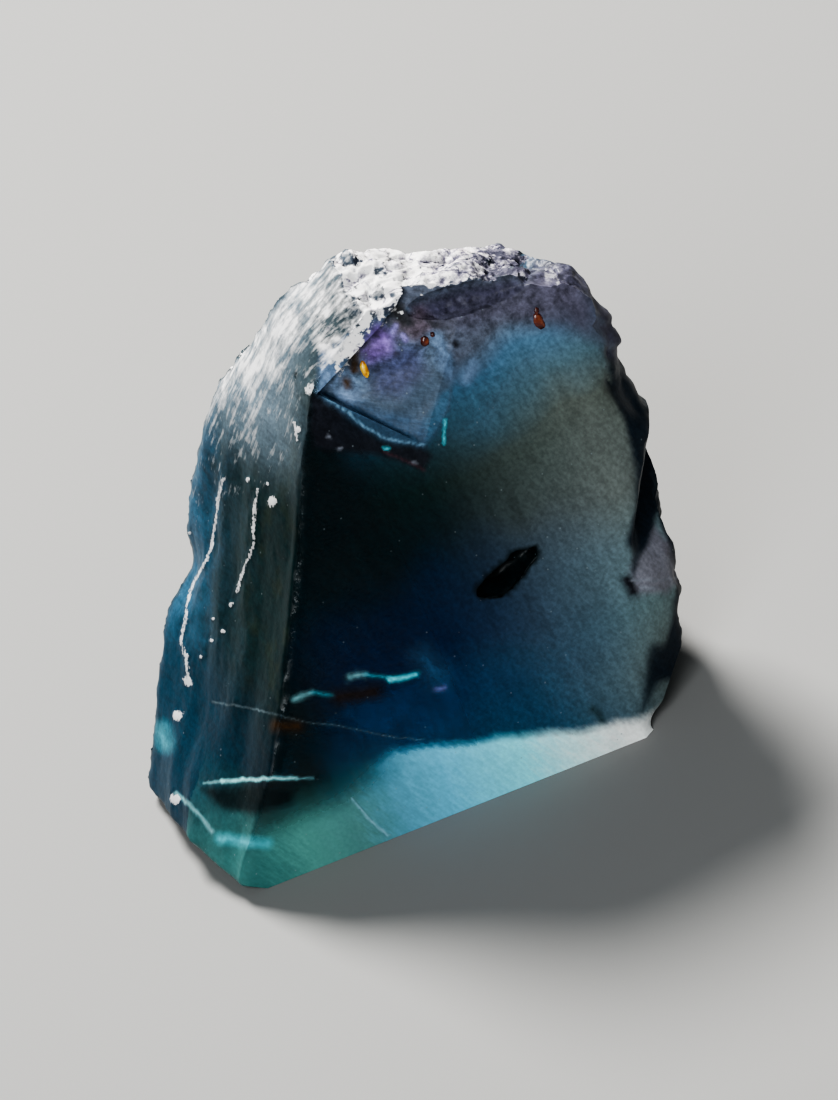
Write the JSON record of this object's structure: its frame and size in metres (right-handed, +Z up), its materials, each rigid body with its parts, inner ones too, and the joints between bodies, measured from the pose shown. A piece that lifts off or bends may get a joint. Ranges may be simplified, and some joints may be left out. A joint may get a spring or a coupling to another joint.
{
  "type": "rough fluorite crystal",
  "caption": "Cleaved piece of clear blue-green fluorite with a flat front, a chipped corner and a white crusted crown, standing on a flat base.",
  "frame": {"origin": "bottom centre of the stone's bounding box, on the surface it stands on", "axes": "+X along the foot of the flat front face, to its right; +Y away from the viewer, through the stone; +Z up"},
  "size_m": [0.037, 0.0198, 0.0327],
  "materials": {
    "fluorite": "satin"
  },
  "bodies": {
    "root": {"fluorite": "fluorite"}
  },
  "joints": []
}
